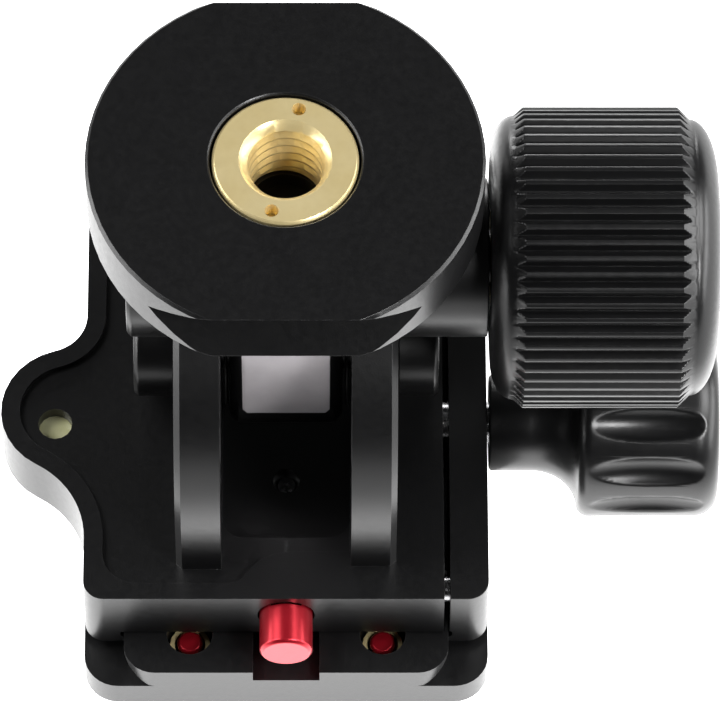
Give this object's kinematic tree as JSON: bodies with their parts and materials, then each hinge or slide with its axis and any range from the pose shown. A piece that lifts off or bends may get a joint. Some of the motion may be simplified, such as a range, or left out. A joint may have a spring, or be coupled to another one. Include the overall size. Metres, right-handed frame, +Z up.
{
  "type": "monopod tilt head",
  "caption": "Black anodised tilt head with a threaded round base between two slotted ears, a ribbed tilt knob, and a dovetail clamp holding a sliding camera plate.",
  "frame": {"origin": "under the middle of the whole object, on the plane of the plate's rubber pads", "axes": "+X runs along the pivot axis towards the two knobs, +Y away from the clamp's button end, +Z up towards the threaded base"},
  "size_m": [0.0844, 0.07, 0.0669],
  "materials": {
    "black_anodised": "satin, fine blasted, black anodised",
    "red_anodised": "satin red anodised",
    "brass": "satin turned",
    "steel": "bright turned",
    "nylon": "matt black",
    "rubber": "matt",
    "level_vial": "clear, pale yellow"
  },
  "bodies": {
    "clamp": {"clamp_body": "black_anodised", "level_vial": "level_vial", "level_ring": "steel", "recess_screw": "steel", "pivot_bolt": "black_anodised", "pivot_nut": "black_anodised", "jaw_spring_front": "steel", "jaw_spring_rear": "steel", "lock_spring": "steel"},
    "jaw": {"clamp_jaw": "black_anodised", "guide_pin_front": "steel", "guide_pin_rear": "steel"},
    "clamp_knob": {"clamp_knob": "black_anodised", "clamp_screw": "steel"},
    "head": {"base": "black_anodised", "thread_insert": "brass", "tilt_bolt": "black_anodised", "tilt_collar": "black_anodised", "friction_disc_left": "nylon", "friction_disc_right": "nylon"},
    "tilt_knob": {"tilt_knob": "black_anodised", "knob_bush": "brass", "tilt_knob_cap": "black_anodised"},
    "lock_button": {"lock_button": "red_anodised"},
    "lock_pin": {"lock_pin": "steel"},
    "camera_plate": {"camera_plate": "black_anodised", "rubber_pad_front": "rubber", "rubber_pad_rear": "rubber", "stop_pin_left": "red_anodised", "stop_pin_right": "red_anodised", "pin_sleeve_left": "brass", "pin_sleeve_right": "brass"},
    "camera_screw": {"camera_screw": "steel"}
  },
  "joints": [
    {"name": "tilt", "type": "hinge", "parent": "clamp", "child": "head", "pos_m": [-0.0086, 0, 0.0244], "axis": [1, 0, 0], "range_deg": [-72, 38]},
    {"name": "tilt_knob_turn", "type": "hinge", "parent": "head", "child": "tilt_knob", "pos_m": [0.0274, 0, 0.0447], "axis": [1, 0, 0], "range_deg": [0, 540]},
    {"name": "jaw_slide", "type": "slide", "parent": "clamp", "child": "jaw", "axis": [1, 0, 0], "range_m": [0, 0.0032]},
    {"name": "clamp_knob_turn", "type": "hinge", "parent": "jaw", "child": "clamp_knob", "pos_m": [0.0274, -0.0043, 0.0127], "axis": [1, 0, 0], "range_deg": [0, 1440]},
    {"name": "button_press", "type": "slide", "parent": "clamp", "child": "lock_button", "axis": [0, 1, 0], "range_m": [0, 0.0024], "stiffness_N_per_m": 400, "springref_m": -0.003},
    {"name": "lock_pin_lift", "type": "slide", "parent": "clamp", "child": "lock_pin", "axis": [0, 0, 1], "range_m": [0, 0.0019], "deforming": ["lock_spring"]},
    {"name": "plate_slide", "type": "slide", "parent": "clamp", "child": "camera_plate", "axis": [0, 1, 0], "range_m": [-0.012, 0.012]},
    {"name": "camera_screw_turn", "type": "hinge", "parent": "camera_plate", "child": "camera_screw", "pos_m": [-0.0086, 0, 0.004], "axis": [0, 0, 1], "continuous": true}
  ],
  "couplings": [
    {"joint": "jaw_slide", "follows": "clamp_knob_turn", "m_per_rad": 0.0001273},
    {"joint": "lock_pin_lift", "follows": "button_press", "ratio": 0.79}
  ]
}
